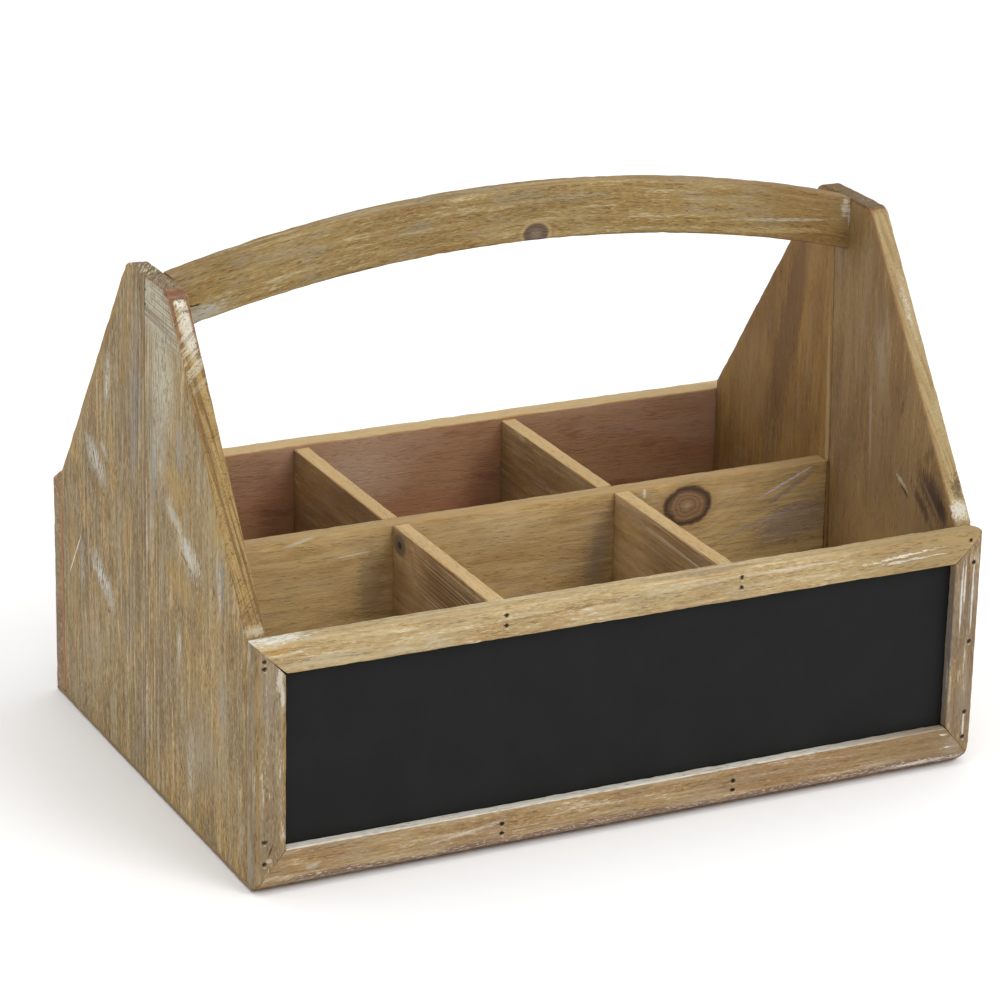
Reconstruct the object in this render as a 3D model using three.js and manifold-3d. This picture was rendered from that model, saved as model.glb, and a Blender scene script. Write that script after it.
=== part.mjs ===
// Bottle caddy: an open wooden crate for six bottles, two gabled ends, an arched handle board between them
// and a framed chalkboard on the front. Millimetres, +Z up, front towards -Y, length along X.
import * as THREE from 'three'
import { mergeVertices } from 'three/addons/utils/BufferGeometryUtils.js'
import Module from 'manifold-3d'

const wasm = await Module()
wasm.setup()

// Driving sizes of the box
const caddy_length = 300
const box_depth = 189.3
const base_thickness = 2.5
const base_set_back = 4.6
const end_thickness = 8
const back_thickness = 10
const back_drop = 3.6

// Driving sizes of the chalkboard's frame
const moulding_width = 12
const foot_moulding_width = 14.5
const moulding_thickness = 9.2
const moulding_shoulder_radius = 2.2
const chalkboard_recess = 4.6
const rebate_width = 7
const rebate_clearance = 0.3
const frame_height = 94.1
const mitre_gap = 0.3

// Driving sizes of the gabled ends: the shoulders stand up over the frame in front and the back panel behind
const gable_height = 200.5
const gable_apex_front = 73.5
const left_apex_length = 41.5
const right_apex_length = 39
const front_shoulder_stand_up = 0.7
const rear_shoulder_stand_up = 3.5
const apex_corner_wear = 2
const left_seam_foot = 100
const left_seam_lean = -4.5
const right_seam_foot = 89
const right_seam_lean = 10.5

// Driving sizes of the dividers
const divider_drop = 4.6
const long_divider_thickness = 7.8
const cross_divider_thickness = 6.8
const front_row_depth = 94.6
const front_left_bay = 91.6
const front_middle_bay = 88.4
const rear_left_bay = 90.7
const rear_middle_bay = 85.9

// Driving sizes of the handle
const handle_thickness = 10
const handle_end_depth = 21
const handle_top_rise = 19
const handle_bottom_rise = 18.8
const handle_steps = 32

// Worn corners
const knocked_moulding_width = 3.8
const knocked_moulding_height = 5.5
const knocked_base_width = 2.4
const knocked_base_height = 3.4
const knocked_base_depth = 6
const chipped_back_width = 3.3
const chipped_back_height = 2.6
const cut_overrun = 2

// Brads
const brad_head_radius = 0.65
const brad_head_length = 0.6
const brad_shank_radius = 0.5
const brad_point_length = 1.2
const brad_clearance = 0.3
const brad_sink = 0.3
const brad_sides = 10
const rail_brad_length = 8
const stile_brad_length = 17
const handle_brad_length = 20
const back_brad_length = 22
const base_brad_length = 15
const corner_steps = 6

// Places worked out from the driving sizes
const box_y = moulding_thickness
const back_y = box_y + box_depth
const rear_y = back_y + back_thickness
const long_divider_y = box_y + front_row_depth
const rear_row_y = long_divider_y + long_divider_thickness
const right_end_x = caddy_length - end_thickness
const floor_z = base_thickness
const apex_z = floor_z + gable_height
const frame_top = floor_z + frame_height
const divider_top = frame_top - divider_drop
const back_top = frame_top - back_drop
const gable_apex_y = box_y + gable_apex_front
const handle_y = gable_apex_y + right_apex_length / 2 - handle_thickness / 2

const honey = new THREE.MeshStandardMaterial({ color: 0xa58a5e, roughness: 0.85, metalness: 0 })
const brown = new THREE.MeshStandardMaterial({ color: 0x866a48, roughness: 0.85, metalness: 0 })
const chalkboard = new THREE.MeshStandardMaterial({ color: 0x262626, roughness: 0.9, metalness: 0 })
const rust = new THREE.MeshStandardMaterial({ color: 0x4a3a30, roughness: 0.6, metalness: 0.8 })

const along_x = new THREE.Vector3(1, 0, 0)
const along_y = new THREE.Vector3(0, 1, 0)
const along_z = new THREE.Vector3(0, 0, 1)

const caddy = new THREE.Group()
caddy.position.set(-caddy_length / 2, -rear_y / 2, 0)

// A board between two corners
function board(low, high) {
  const size = new THREE.Vector3().subVectors(high, low)
  const geometry = new THREE.BoxGeometry(size.x, size.y, size.z)
  const centre = new THREE.Vector3().addVectors(low, high).multiplyScalar(1 / 2)
  return geometry.translate(centre.x, centre.y, centre.z)
}

// A plate cut to an outline in Y and Z, from x_start along +X
function plate_along_x(outline, x_start, thickness) {
  const shape = new THREE.Shape(outline)
  const geometry = new THREE.ExtrudeGeometry(shape, { depth: thickness, bevelEnabled: false })
  geometry.applyMatrix4(new THREE.Matrix4().makeBasis(along_y, along_z, along_x))
  return geometry.translate(x_start, 0, 0)
}

// A plate cut to an outline in X and Z, from y_start along +Y
function plate_along_y(outline, y_start, thickness) {
  const shape = new THREE.Shape(outline)
  const geometry = new THREE.ExtrudeGeometry(shape, { depth: thickness, bevelEnabled: false })
  geometry.applyMatrix4(new THREE.Matrix4().makeBasis(along_x, along_z, along_y.clone().negate()))
  return geometry.translate(0, y_start + thickness, 0)
}

function to_solid(geometry) {
  const plain = geometry.clone()
  plain.deleteAttribute('normal')
  plain.deleteAttribute('uv')
  const welded = mergeVertices(plain)
  const vertProperties = new Float32Array(welded.attributes.position.array)
  const triVerts = new Uint32Array(welded.index.array)
  return new wasm.Manifold(new wasm.Mesh({ numProp: 3, vertProperties, triVerts }))
}

// The geometry with every tool's volume taken out of it
function cut(geometry, tools) {
  let solid = to_solid(geometry)
  for (const tool of tools) {
    solid = solid.subtract(to_solid(tool))
  }
  const result = solid.getMesh()
  const trimmed = new THREE.BufferGeometry()
  trimmed.setAttribute('position', new THREE.BufferAttribute(result.vertProperties, 3))
  trimmed.setIndex(new THREE.BufferAttribute(result.triVerts, 1))
  trimmed.computeVertexNormals()
  return trimmed
}

function add_piece(name, geometry, material) {
  const piece = new THREE.Mesh(geometry, material)
  piece.name = name
  caddy.add(piece)
}

// Brads: each has the point where it enters the wood, the way it is driven and its length
const brads = []

function add_brads(name, length, way, entries) {
  entries.forEach((entry, index) => {
    brads.push({ name: `${name}_${index + 1}`, length, way, entry })
  })
}

const into_front = along_y
const into_back = along_y.clone().negate()
const into_left = along_x
const into_right = along_x.clone().negate()
const into_base = along_z

// Turns a shape made along +Y to the way that a brad is driven, and moves it to its entry
function aim(geometry, brad) {
  const turn = new THREE.Quaternion().setFromUnitVectors(along_y, brad.way)
  geometry.applyQuaternion(turn)
  return geometry.translate(brad.entry.x, brad.entry.y, brad.entry.z)
}

function brad_geometry(brad) {
  const shank_start = brad_sink + brad_head_length
  const tip = brad_sink + brad.length
  const profile = [
    new THREE.Vector2(0, brad_sink),
    new THREE.Vector2(brad_head_radius, brad_sink),
    new THREE.Vector2(brad_head_radius, shank_start),
    new THREE.Vector2(brad_shank_radius, shank_start),
    new THREE.Vector2(brad_shank_radius, tip - brad_point_length),
    new THREE.Vector2(0, tip),
  ]
  return aim(new THREE.LatheGeometry(profile, brad_sides), brad)
}

// The hole round a brad, open at the face where it enters
function brad_hole(brad) {
  const radius = brad_head_radius + brad_clearance
  const length = cut_overrun + brad_sink + brad.length + brad_clearance
  const hole = new THREE.CylinderGeometry(radius, radius, length, brad_sides)
  return aim(hole.translate(0, length / 2 - cut_overrun, 0), brad)
}

function holes(...names) {
  return brads.filter((brad) => names.some((name) => brad.name.startsWith(name))).map(brad_hole)
}

// Brads through the mouldings, measured from the frame's own edges
const left_stile_brad_inset = 3.3
const right_stile_brad_inset = 4
const rail_pair_left_x = 97.7
const rail_pair_right_x = 194.5
const corner_brad_inset = 6
const upper_brad_drop = 2.8
const lower_brad_drop = 6.8
const foot_brad_lift = 5.1
const foot_brad_upper_lift = 8.9
const left_stile_brad_lifts = [10, 18.7]
const left_stile_brad_drops = [8.5, 5.8]
const right_stile_brad_lifts = [9.7, 20.1]
const right_stile_brad_drops = [12]
const right_stile_middle_share = 0.527

function front_point(x, z) {
  return new THREE.Vector3(x, 0, z)
}

const pair_columns = [rail_pair_left_x, rail_pair_right_x]
add_brads('top_rail_brad', rail_brad_length, into_front, pair_columns.flatMap((x) => [
  front_point(x, frame_top - upper_brad_drop),
  front_point(x, frame_top - lower_brad_drop),
]))
add_brads('bottom_rail_brad', rail_brad_length, into_front, pair_columns.flatMap((x) => [
  front_point(x, floor_z + foot_brad_upper_lift),
  front_point(x, floor_z + foot_brad_lift),
]))
add_brads('top_corner_brad', stile_brad_length, into_front, [
  front_point(caddy_length - corner_brad_inset, frame_top - upper_brad_drop),
])

const left_stile_heights = [
  ...left_stile_brad_lifts.map((lift) => floor_z + lift),
  ...left_stile_brad_drops.map((drop) => frame_top - drop),
]
const right_stile_heights = [
  ...right_stile_brad_lifts.map((lift) => floor_z + lift),
  floor_z + right_stile_middle_share * frame_height,
  ...right_stile_brad_drops.map((drop) => frame_top - drop),
]
add_brads('left_stile_brad', stile_brad_length, into_front, left_stile_heights.map((z) => (
  front_point(left_stile_brad_inset, z)
)))
add_brads('right_stile_brad', stile_brad_length, into_front, right_stile_heights.map((z) => (
  front_point(caddy_length - right_stile_brad_inset, z)
)))

// Brads through the gables into the handle's ends
const handle_brad_across_share = 0.73
const handle_brad_drop_shares = [0.257, 0.519]
const handle_brad_y = handle_y + handle_thickness * handle_brad_across_share

function handle_brad_point(x, drop_share) {
  return new THREE.Vector3(x, handle_brad_y, apex_z - handle_end_depth * drop_share)
}

add_brads('left_handle_brad', handle_brad_length, into_left, handle_brad_drop_shares.map((share) => (
  handle_brad_point(0, share)
)))
add_brads('right_handle_brad', handle_brad_length, into_right, handle_brad_drop_shares.map((share) => (
  handle_brad_point(caddy_length, share)
)))

// Brads through the back panel and the base into the middle of the ends' thickness
const back_brad_shares = [0.14, 0.49, 0.86]
const base_brad_shares = [0.13, 0.36, 0.87]
const end_middles = [end_thickness / 2, caddy_length - end_thickness / 2]

add_brads('back_brad', back_brad_length, into_back, end_middles.flatMap((x) => (
  back_brad_shares.map((share) => new THREE.Vector3(x, rear_y, share * back_top))
)))
add_brads('base_brad', base_brad_length, into_base, end_middles.flatMap((x) => (
  base_brad_shares.map((share) => new THREE.Vector3(x, box_y + share * box_depth, 0))
)))

// A wedge that knocks off one corner of a board's front outline; the signs point out of the board there
function corner_wedge(corner, sign_x, sign_z, width, height, y_start, depth) {
  const outer_x = corner.x + sign_x * cut_overrun
  const outer_z = corner.y + sign_z * cut_overrun
  const outline = [
    new THREE.Vector2(corner.x - sign_x * width, corner.y),
    new THREE.Vector2(corner.x, corner.y - sign_z * height),
    new THREE.Vector2(outer_x, corner.y - sign_z * height),
    new THREE.Vector2(outer_x, outer_z),
    new THREE.Vector2(corner.x - sign_x * width, outer_z),
  ]
  return plate_along_y(outline, y_start, depth)
}

// Bottom board, under everything but the face of the frame, its front right corner knocked off
const base_knock = corner_wedge(
  new THREE.Vector2(caddy_length, 0), 1, -1, knocked_base_width, knocked_base_height,
  base_set_back - cut_overrun, cut_overrun + knocked_base_depth,
)
const base_board = board(
  new THREE.Vector3(0, base_set_back, 0),
  new THREE.Vector3(caddy_length, rear_y, floor_z),
)
add_piece('bottom_board', cut(base_board, [base_knock, ...holes('base_brad')]), brown)

// Front panel, the chalkboard, which sits in the frame's rebate from behind
const panel_side_inset = moulding_width - rebate_width + rebate_clearance
const panel_foot_inset = foot_moulding_width - rebate_width + rebate_clearance
const front_board = board(
  new THREE.Vector3(panel_side_inset, chalkboard_recess, floor_z + panel_foot_inset),
  new THREE.Vector3(caddy_length - panel_side_inset, box_y, frame_top - panel_side_inset),
)
add_piece('front_panel', cut(front_board, holes('top_rail', 'bottom_rail')), chalkboard)

// The frame's moulding: flat back, a rebate for the panel behind its inner lip, rounded outer shoulder
function moulding_profile(width) {
  const shoulder_x = moulding_shoulder_radius
  const shoulder_y = moulding_thickness - moulding_shoulder_radius
  const rebate_x = width - rebate_width
  const rebate_y = moulding_thickness - chalkboard_recess
  const profile = new THREE.Shape()
  profile.moveTo(0, 0)
  profile.lineTo(rebate_x, 0)
  profile.lineTo(rebate_x, rebate_y)
  profile.lineTo(width, rebate_y)
  profile.lineTo(width, moulding_thickness)
  profile.lineTo(shoulder_x, moulding_thickness)
  profile.absarc(shoulder_x, shoulder_y, moulding_shoulder_radius, Math.PI / 2, Math.PI, false)
  profile.closePath()
  return profile
}

// A length of moulding, each end mitred to meet a neighbour of the width given there; inward and onward
// say where its own width and length go
function moulding(length, width, start_width, end_width, corner, inward, onward) {
  const options = { depth: length, bevelEnabled: false, curveSegments: corner_steps }
  const geometry = new THREE.ExtrudeGeometry(moulding_profile(width), options)
  const places = geometry.attributes.position
  for (let i = 0; i < places.count; i += 1) {
    const at_far_end = places.getZ(i) > length / 2
    const slope = (at_far_end ? end_width : start_width) / width
    const slant = places.getX(i) * slope + mitre_gap / 2 * Math.hypot(1, slope)
    places.setZ(i, at_far_end ? length - slant : slant)
  }
  geometry.computeVertexNormals()
  const outward = along_y.clone().negate()
  geometry.applyMatrix4(new THREE.Matrix4().makeBasis(inward, outward, onward))
  return geometry.translate(corner.x, box_y, corner.y)
}

const moulding_knock = corner_wedge(
  new THREE.Vector2(caddy_length, floor_z), 1, -1, knocked_moulding_width, knocked_moulding_height,
  -cut_overrun, moulding_thickness + 2 * cut_overrun,
)
const left_way = along_x.clone().negate()
const down_way = along_z.clone().negate()
const side_width = moulding_width
const foot_width = foot_moulding_width
const top_right = new THREE.Vector2(caddy_length, frame_top)
const top_left = new THREE.Vector2(0, frame_top)
const foot_left = new THREE.Vector2(0, floor_z)
const foot_right = new THREE.Vector2(caddy_length, floor_z)
const top_rail = moulding(caddy_length, side_width, side_width, side_width, top_right, down_way, left_way)
const bottom_rail = moulding(caddy_length, foot_width, side_width, side_width, foot_left, along_z, along_x)
const left_stile = moulding(frame_height, side_width, side_width, foot_width, top_left, along_x, down_way)
const right_stile = moulding(frame_height, side_width, foot_width, side_width, foot_right, left_way, along_z)
add_piece('frame_top_rail', cut(top_rail, holes('top_rail', 'top_corner')), honey)
add_piece('frame_bottom_rail', cut(bottom_rail, [moulding_knock, ...holes('bottom_rail')]), honey)
add_piece('frame_left_stile', cut(left_stile, holes('left_stile')), honey)
add_piece('frame_right_stile', cut(right_stile, [moulding_knock, ...holes('right_stile')]), honey)

// Two points that take the place of a corner worn back by the same length on both its sides
function worn_corner(before, corner, after) {
  const towards_before = new THREE.Vector2().subVectors(before, corner).setLength(apex_corner_wear)
  const towards_after = new THREE.Vector2().subVectors(after, corner).setLength(apex_corner_wear)
  return [towards_before.add(corner), towards_after.add(corner)]
}

// A gabled end: two boards glued edge to edge along a seam that leans a little
function add_end(side, x_start, apex_length, seam_foot, seam_lean) {
  const seam_bottom = new THREE.Vector2(box_y + seam_foot, floor_z)
  const seam_top = new THREE.Vector2(box_y + seam_foot + seam_lean, apex_z)
  const apex_front = new THREE.Vector2(gable_apex_y, apex_z)
  const apex_rear = new THREE.Vector2(gable_apex_y + apex_length, apex_z)
  const front_shoulder = new THREE.Vector2(box_y, frame_top + front_shoulder_stand_up)
  const rear_shoulder = new THREE.Vector2(back_y, back_top + rear_shoulder_stand_up)
  const front_outline = [
    new THREE.Vector2(box_y, floor_z),
    seam_bottom,
    seam_top,
    ...worn_corner(seam_top, apex_front, front_shoulder),
    front_shoulder,
  ]
  const rear_outline = [
    seam_bottom,
    new THREE.Vector2(back_y, floor_z),
    rear_shoulder,
    ...worn_corner(rear_shoulder, apex_rear, seam_top),
    seam_top,
  ]
  const tools = side === 'left'
    ? holes('left_stile', 'left_handle', 'back_brad', 'base_brad')
    : holes('right_stile', 'top_corner', 'right_handle', 'back_brad', 'base_brad')
  const front_plate = plate_along_x(front_outline, x_start, end_thickness)
  const rear_plate = plate_along_x(rear_outline, x_start, end_thickness)
  add_piece(`${side}_end_front_board`, cut(front_plate, tools), honey)
  add_piece(`${side}_end_rear_board`, cut(rear_plate, tools), brown)
}

add_end('left', 0, left_apex_length, left_seam_foot, left_seam_lean)
add_end('right', right_end_x, right_apex_length, right_seam_foot, right_seam_lean)

// Back panel, chipped at its top left corner
const back_board = board(
  new THREE.Vector3(0, back_y, floor_z),
  new THREE.Vector3(caddy_length, rear_y, back_top),
)
const back_chip = corner_wedge(
  new THREE.Vector2(0, back_top), -1, 1, chipped_back_width, chipped_back_height,
  back_y - cut_overrun, back_thickness + 2 * cut_overrun,
)
add_piece('back_panel', cut(back_board, [back_chip, ...holes('back_brad')]), brown)

// Dividers: the long one between the two rows, the short ones butted against it
add_piece('long_divider', board(
  new THREE.Vector3(end_thickness, long_divider_y, floor_z),
  new THREE.Vector3(right_end_x, rear_row_y, divider_top),
), brown)

function add_cross_divider(name, x_start, y_start, y_end) {
  add_piece(name, board(
    new THREE.Vector3(x_start, y_start, floor_z),
    new THREE.Vector3(x_start + cross_divider_thickness, y_end, divider_top),
  ), honey)
}

const front_left_x = end_thickness + front_left_bay
const front_right_x = front_left_x + cross_divider_thickness + front_middle_bay
const rear_left_x = end_thickness + rear_left_bay
const rear_right_x = rear_left_x + cross_divider_thickness + rear_middle_bay
add_cross_divider('front_left_divider', front_left_x, box_y, long_divider_y)
add_cross_divider('front_right_divider', front_right_x, box_y, long_divider_y)
add_cross_divider('rear_left_divider', rear_left_x, rear_row_y, back_y)
add_cross_divider('rear_right_divider', rear_right_x, rear_row_y, back_y)

// Points of a shallow arc between the two ends, from the left one to the right one
function arc_points(end_z, rise) {
  const half_span = (right_end_x - end_thickness) / 2
  const middle_x = end_thickness + half_span
  const radius = (half_span * half_span + rise * rise) / (2 * rise)
  const points = []
  for (let step = 0; step <= handle_steps; step += 1) {
    const offset = half_span * (2 * step / handle_steps - 1)
    const drop = radius - Math.sqrt(radius * radius - offset * offset)
    points.push(new THREE.Vector2(middle_x + offset, end_z + rise - drop))
  }
  return points
}

// Handle: an arched board whose ends butt against the gables
const handle_outline = [
  ...arc_points(apex_z - handle_end_depth, handle_bottom_rise),
  ...arc_points(apex_z, handle_top_rise).reverse(),
]
const handle_board = plate_along_y(handle_outline, handle_y, handle_thickness)
add_piece('handle', cut(handle_board, holes('left_handle', 'right_handle')), honey)

for (const brad of brads) {
  add_piece(brad.name, brad_geometry(brad), rust)
}

export default caddy
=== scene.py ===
import math

import bmesh
import bpy
import numpy as np
from mathutils import Matrix, Vector, noise


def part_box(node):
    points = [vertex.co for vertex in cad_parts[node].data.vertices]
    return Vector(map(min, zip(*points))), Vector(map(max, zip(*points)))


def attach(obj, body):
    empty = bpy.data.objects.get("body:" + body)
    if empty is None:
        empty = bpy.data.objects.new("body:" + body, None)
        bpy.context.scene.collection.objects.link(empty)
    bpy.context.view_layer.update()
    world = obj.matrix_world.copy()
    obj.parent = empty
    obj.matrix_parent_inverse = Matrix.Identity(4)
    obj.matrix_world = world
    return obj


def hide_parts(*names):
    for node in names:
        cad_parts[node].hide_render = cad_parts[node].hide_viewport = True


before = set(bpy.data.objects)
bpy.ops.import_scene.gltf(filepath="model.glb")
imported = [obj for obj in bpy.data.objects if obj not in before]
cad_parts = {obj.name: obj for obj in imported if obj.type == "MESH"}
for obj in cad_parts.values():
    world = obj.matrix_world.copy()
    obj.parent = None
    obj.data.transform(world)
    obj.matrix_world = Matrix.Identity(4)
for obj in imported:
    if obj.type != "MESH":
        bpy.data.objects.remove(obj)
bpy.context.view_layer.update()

# Camera
# A long lens in front of the left front corner, a little above the caddy and turned down on it.
camera_place = Vector((-0.644858, -1.297818, 0.630592))
camera_azimuth = math.radians(-26.257)
camera_elevation = math.radians(20.29)
camera_roll = math.radians(1.284)


def new_object(name, data):
    """Puts a new object in the scene, at the origin."""
    item = bpy.data.objects.new(name, data)
    bpy.context.scene.collection.objects.link(item)
    return item


camera_data = bpy.data.cameras.new("camera")
camera_data.sensor_width = 36.0
camera_data.lens = 143.66
camera_back = Vector((
    math.sin(camera_azimuth) * math.cos(camera_elevation),
    -math.cos(camera_azimuth) * math.cos(camera_elevation),
    math.sin(camera_elevation),
))
level_right = Vector((0, 0, 1)).cross(camera_back).normalized()
level_up = camera_back.cross(level_right)
camera_right = level_right * math.cos(camera_roll) + level_up * math.sin(camera_roll)
camera_up = level_up * math.cos(camera_roll) - level_right * math.sin(camera_roll)
camera_turn = Matrix((camera_right, camera_up, camera_back)).transposed().to_4x4()
camera = new_object("camera", camera_data)
camera.matrix_world = Matrix.Translation(camera_place) @ camera_turn
bpy.context.scene.camera = camera

# Light and floor
# An even pale studio: a white surround, a large soft light from the front right, a weaker one from above
# and a pale floor, which lies a hair below the caddy so that the two faces never coincide.
bpy.context.scene.view_settings.view_transform = "Standard"
surround = bpy.data.worlds.new("surround")
surround.use_nodes = True
surround_light = surround.node_tree.nodes["Background"]
surround_light.inputs["Color"].default_value = (1.0, 1.0, 1.0, 1)
surround_light.inputs["Strength"].default_value = 0.95
bpy.context.scene.world = surround


def soft_light(name, place, size, power):
    lamp = bpy.data.lights.new(name, "AREA")
    lamp.shape = "DISK"
    lamp.size = size
    lamp.energy = power
    lamp_object = new_object(name, lamp)
    lamp_object.location = place
    lamp_object.rotation_mode = "QUATERNION"
    lamp_object.rotation_quaternion = (Vector((0, 0, 0.08)) - Vector(place)).to_track_quat("-Z", "Y")


soft_light("key_light", (0.8, -1.75, 1.75), 1.2, 21)
soft_light("top_light", (-0.1, -0.2, 2.3), 1.4, 8)

floor_half = 4.0
floor_height = -0.0002
floor_mesh = bpy.data.meshes.new("floor")
floor_corners = [(x * floor_half, y * floor_half, floor_height)
                 for x, y in ((-1, -1), (1, -1), (1, 1), (-1, 1))]
floor_mesh.from_pydata(floor_corners, [], [(0, 1, 2, 3)])
floor_object = new_object("floor", floor_mesh)
floor_paint = bpy.data.materials.new("floor_paint")
floor_paint.use_nodes = True
floor_shader = floor_paint.node_tree.nodes["Principled BSDF"]
floor_shader.inputs["Base Color"].default_value = (0.95, 0.95, 0.95, 1)
floor_shader.inputs["Roughness"].default_value = 0.9
floor_mesh.materials.append(floor_paint)

# Bottom board
# One thin board of rough brown pine under everything but the front mouldings. The ends and the back
# stand on it and are bradded up through it, and its front right corner has been knocked off.
MM = 0.001
cell_mm = 4.0
beside_edge = 0.35
caddy_length = 300.0
caddy_depth = 208.5
lip_depth = 4.6
base_top = 2.5
bench_corner = np.array([caddy_length / 2, caddy_depth / 2, 0.0])
base_joint = (np.array([0.0, 0.0, base_top]), np.array([0.0, 0.0, 1.0]))


def bench(x, y, z):
    """A point measured in millimetres from the lower front left corner of the caddy."""
    return Vector((x - bench_corner[0], y - bench_corner[1], z)) * MM


def bench_point(vert):
    """Where a point of a form lies on the bench."""
    return np.array(vert.co) / MM + bench_corner


def outlined_board(axis, outline, start, thickness):
    """A board sawn to an outline across bench axis 0, 1 or 2, from start on by its thickness."""
    form = bmesh.new()
    layers = []
    for level in (start, start + thickness):
        layer = []
        for pair in outline:
            point = list(pair)
            point.insert(axis, level)
            layer.append(form.verts.new(bench(*point)))
        layers.append(layer)
        form.faces.new(layer)
    for i in range(len(outline)):
        j = (i + 1) % len(outline)
        form.faces.new((layers[0][i], layers[0][j], layers[1][j], layers[1][i]))
    bmesh.ops.recalc_face_normals(form, faces=form.faces)
    return form


def square_board(low, high):
    """A plain board between two bench corners."""
    outline = [(low[1], low[2]), (high[1], low[2]), (high[1], high[2]), (low[1], high[2])]
    return outlined_board(0, outline, low[0], high[0] - low[0])


def divide(form, point, normal):
    """Divides the faces of a form along a plane."""
    everything = form.verts[:] + form.edges[:] + form.faces[:]
    bmesh.ops.bisect_plane(form, geom=everything, dist=1e-6, plane_co=point, plane_no=normal)


def ease_edges(form, rounding, joints=()):
    """Eases the edges of a sawn board and divides its faces, and gives back its eased edges in mm. Edges
    that lie in a joint, a plane given by a bench point and a unit normal, stay sharp."""
    free = []
    for edge in form.edges:
        ends = [bench_point(vert) for vert in edge.verts]
        if not any(all(abs((end - point) @ normal) < 0.01 for end in ends) for point, normal in joints):
            free.append(edge)
    edges = [[bench_point(vert) for vert in edge.verts] for edge in free]
    planes = [(face.calc_center_median(), face.normal.copy()) for face in form.faces]
    bmesh.ops.bevel(form, geom=free, offset=rounding * MM, segments=3, profile=0.5,
                    affect="EDGES", clamp_overlap=True)
    for centre, normal in planes:
        divide(form, centre - normal * (rounding + beside_edge) * MM, normal)
    for axis in range(3):
        low = min(v.co[axis] for v in form.verts)
        high = max(v.co[axis] for v in form.verts)
        normal = Vector([float(axis == i) for i in range(3)])
        steps = math.ceil((high - low) / MM / cell_mm)
        for step in range(1, steps):
            divide(form, normal * (low + (high - low) * step / steps), normal)
    return edges


def nearest_edge(form, edges):
    """How far each point of the form is from the nearest of the straight edges, in mm."""
    points = np.array([v.co for v in form.verts]) / MM + bench_corner
    nearest = np.full(len(points), 1e3)
    for start, stop in edges:
        run = stop - start
        share = np.clip((points - start) @ run / (run @ run), 0, 1)
        nearest = np.minimum(nearest, np.linalg.norm(points - start - share[:, None] * run, axis=1))
    return nearest


def shave(form, point, normal, within=1e9):
    """Pushes what stands out over a plane back onto it, near the point only where within is given."""
    plane_point = bench(*point)
    normal = Vector(normal).normalized()
    for vert in form.verts:
        proud = (vert.co - plane_point).dot(normal)
        if proud > 0 and (vert.co - plane_point).length < within * MM:
            vert.co -= normal * proud


def settle(piece):
    """Gives an object the mesh that its modifiers make."""
    mesh = bpy.data.meshes.new_from_object(piece.evaluated_get(bpy.context.evaluated_depsgraph_get()))
    piece.modifiers.clear()
    piece.data = mesh


def brad_pits(board, pits, way):
    """Opens the small pits over the sunk heads of the brads in a board."""
    pit_radius = 0.62 * MM
    form = bmesh.new()
    turn = Vector((0, 0, 1)).rotation_difference(Vector(way)).to_matrix().to_4x4()
    for pit in pits:
        spot = Matrix.Translation(bench(*pit)) @ turn
        bmesh.ops.create_cone(form, cap_ends=True, cap_tris=False, segments=12, radius1=pit_radius,
                              radius2=pit_radius, depth=0.76 * MM, matrix=spot)
    cutter_mesh = bpy.data.meshes.new("pit_cutter")
    form.to_mesh(cutter_mesh)
    form.free()
    cutter = new_object("pit_cutter", cutter_mesh)
    boring = board.modifiers.new("pits", "BOOLEAN")
    boring.operation = "DIFFERENCE"
    boring.solver = "EXACT"
    boring.use_self = True
    boring.object = cutter
    settle(board)
    bpy.data.objects.remove(cutter)
    bpy.data.meshes.remove(cutter_mesh)


def worn_piece(node, form, reach, finish, wear, pits=(), way=(0, 1, 0)):
    """Wears a board's edges, bores its brad pits and lets it stand for its CAD node. Reach is how far
    each of its points is from an edge, in mm."""
    form.normal_update()
    for vert, near in zip(form.verts, reach):
        place = vert.co / MM
        rough = noise.fractal(place * 0.22, 1.0, 2.0, 3) * 0.5 + 0.5
        sway = noise.noise(place * 0.04) * 0.5 + 0.5
        loss = wear * math.exp(-near / 1.5) * (0.2 + 1.7 * max(0.0, rough) ** 2 + 0.6 * sway)
        vert.co -= vert.normal * max(0.0, loss) * MM
    mesh = bpy.data.meshes.new(node + "_wood")
    form.to_mesh(mesh)
    form.free()
    mesh.attributes.new("edge_mm", "FLOAT", "POINT").data.foreach_set("value", reach)
    mesh.materials.append(finish)
    piece = new_object(node + "_wood", mesh)
    if pits:
        brad_pits(piece, pits, way)
    piece.data.polygons.foreach_set("use_smooth", [True] * len(piece.data.polygons))
    piece.data.set_sharp_from_angle(angle=math.radians(50))
    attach(piece, "root")
    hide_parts(node)


def sawn_piece(node, form, rounding, finish, wear, joints=(), pits=(), way=(0, 1, 0), shaves=()):
    """Eases a sawn board's edges, knocks off the corners that the shaves give and wears the piece."""
    edges = ease_edges(form, rounding, joints)
    for cut in shaves:
        shave(form, *cut)
    worn_piece(node, form, nearest_edge(form, edges), finish, wear, pits, way)


def add_node(tree, kind, inputs=(), output=0, **settings):
    """Adds a node with its settings and its inputs, values or sockets, and gives back one of its outputs."""
    node = tree.nodes.new(kind)
    for key, value in settings.items():
        setattr(node, key, value)
    for key, value in (inputs.items() if isinstance(inputs, dict) else enumerate(inputs)):
        if isinstance(value, bpy.types.NodeSocket):
            tree.links.new(value, node.inputs[key])
        else:
            node.inputs[key].default_value = value
    return node if output is None else node.outputs[output]


def shade(code):
    """The linear colour of a hexadecimal paint code."""
    parts = [int(code[i:i + 2], 16) / 255 for i in (0, 2, 4)]
    return tuple(c / 12.92 if c <= 0.04045 else ((c + 0.055) / 1.055) ** 2.4 for c in parts) + (1,)


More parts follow.
